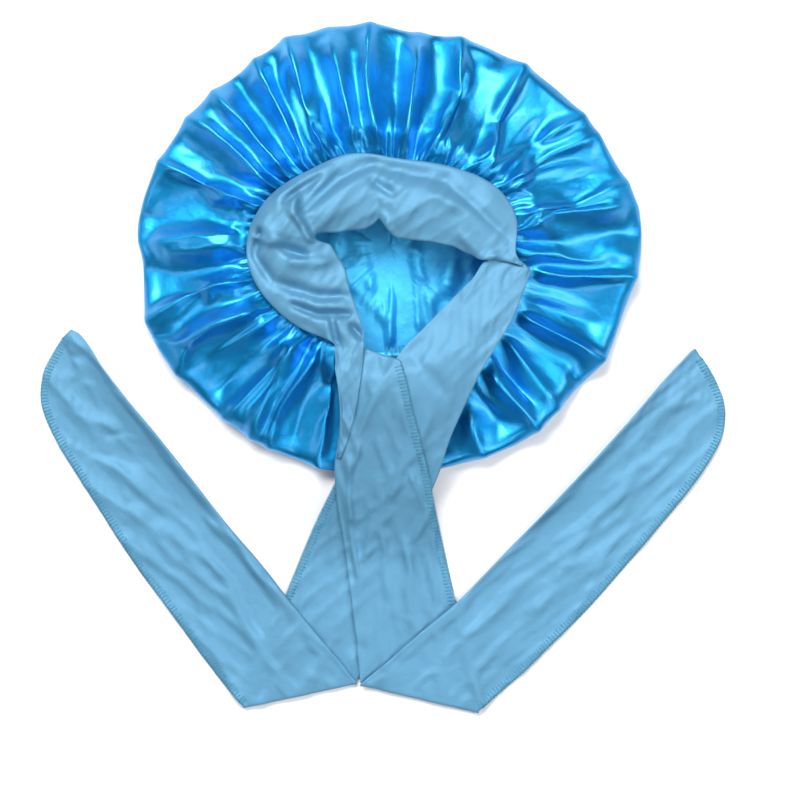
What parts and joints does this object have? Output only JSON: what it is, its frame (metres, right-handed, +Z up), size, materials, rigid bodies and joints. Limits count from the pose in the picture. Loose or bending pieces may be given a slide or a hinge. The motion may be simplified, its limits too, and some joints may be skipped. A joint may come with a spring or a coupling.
{
  "type": "sleep bonnet",
  "caption": "Gathered satin sleep bonnet lying mouth up, with a wide folded band round its mouth and long ties crossed in front.",
  "frame": {"origin": "on the plane that the bonnet lies on, below the middle of the crown's floor", "axes": "+Z up, out of the mouth; +Y to the back of the mouth, away from the ties; +X to the right as seen from above"},
  "size_m": [0.4926, 0.501, 0.0573],
  "materials": {
    "satin": "glossy satin, bright azure, gathered",
    "stretch_satin": "matt stretch satin, pale blue, overlocked edges"
  },
  "bodies": {
    "root": {"crown": "satin", "band": "stretch_satin", "tie_left": "stretch_satin", "tie_right": "stretch_satin"}
  },
  "joints": []
}
